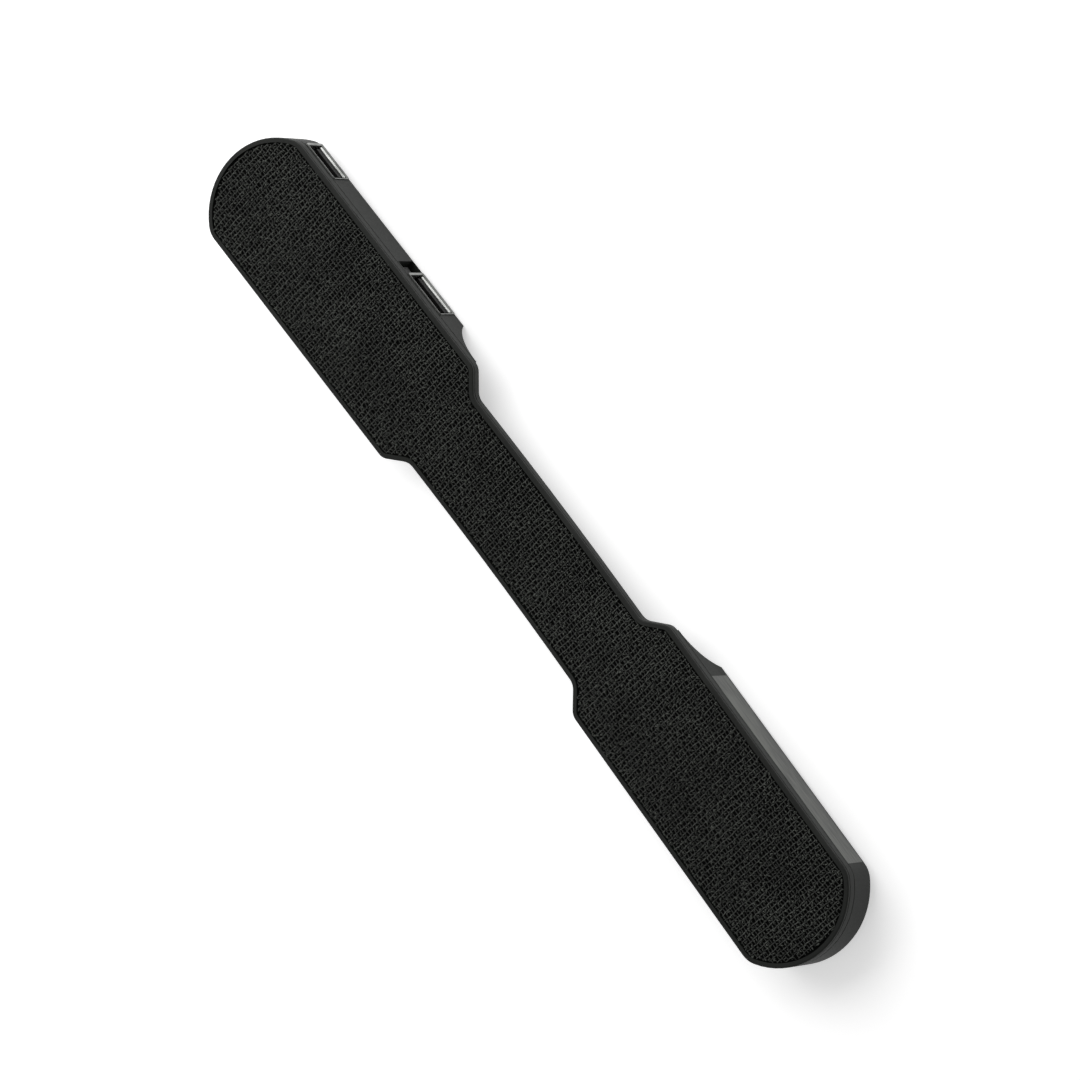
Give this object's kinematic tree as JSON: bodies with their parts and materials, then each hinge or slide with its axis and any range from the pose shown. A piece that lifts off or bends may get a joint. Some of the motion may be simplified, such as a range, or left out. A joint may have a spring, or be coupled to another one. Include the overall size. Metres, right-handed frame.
{
  "type": "tourniquet unit",
  "caption": "Slim dog-bone unit with a hook-tape face, two thin electronics pods joined by a narrow neck, shielded side sockets, a recessed sprung button and a long diffuser window.",
  "frame": {"origin": "centre of the footprint on the surface the pods lie on", "axes": "+X along the unit from the socket pod to the lamp pod, +Y towards the side with the sockets and the window, +Z out of the hook face"},
  "size_m": [0.2474, 0.034, 0.0149],
  "materials": {
    "shell": "fine matt moulded texture",
    "hook": "woven nylon with moulded hooks, satin",
    "gasket": "matt",
    "socket_metal": "satin nickel plate",
    "socket_insert": "smooth moulded",
    "contact": "gold plated",
    "button": "matt",
    "switch": "moulded",
    "board": "solder-mask green",
    "chip": "moulded epoxy",
    "ribbon": "amber film",
    "plug": "moulded",
    "cell": "satin foil",
    "pad": "foam",
    "lens": "satin translucent",
    "led": "clear resin",
    "screw": "black zinc"
  },
  "bodies": {
    "housing": {"button_switch": "switch", "cell_lamp": "cell", "cell_pad_lamp": "pad", "cell_pad_port": "pad", "cell_port": "cell", "charge_board": "board", "control_board": "board", "control_chips": "chip", "front_plate": "shell", "hook_backing": "hook", "hook_field": "hook", "lamp_board": "board", "lamp_leds": "led", "lamp_pod_gasket": "gasket", "lamp_pod_screws": "screw", "lamp_pod_shell": "shell", "lamp_pod_standoffs": "contact", "neck_cover": "shell", "neck_ribbon": "ribbon", "port_pod_gasket": "gasket", "port_pod_screws": "screw", "port_pod_shell": "shell", "port_pod_standoffs": "contact", "ribbon_plug_lamp": "plug", "ribbon_plug_port": "plug", "socket_inner_contacts": "contact", "socket_inner_insert": "socket_insert", "socket_inner_shell": "socket_metal", "socket_outer_contacts": "contact", "socket_outer_insert": "socket_insert", "socket_outer_shell": "socket_metal", "window_lens": "lens"},
    "button": {"power_button": "button"}
  },
  "joints": [
    {"name": "button_press", "type": "slide", "parent": "housing", "child": "button", "axis": [0, -1, 0], "range_m": [0, 0.0005], "stiffness_N_per_m": 800}
  ]
}
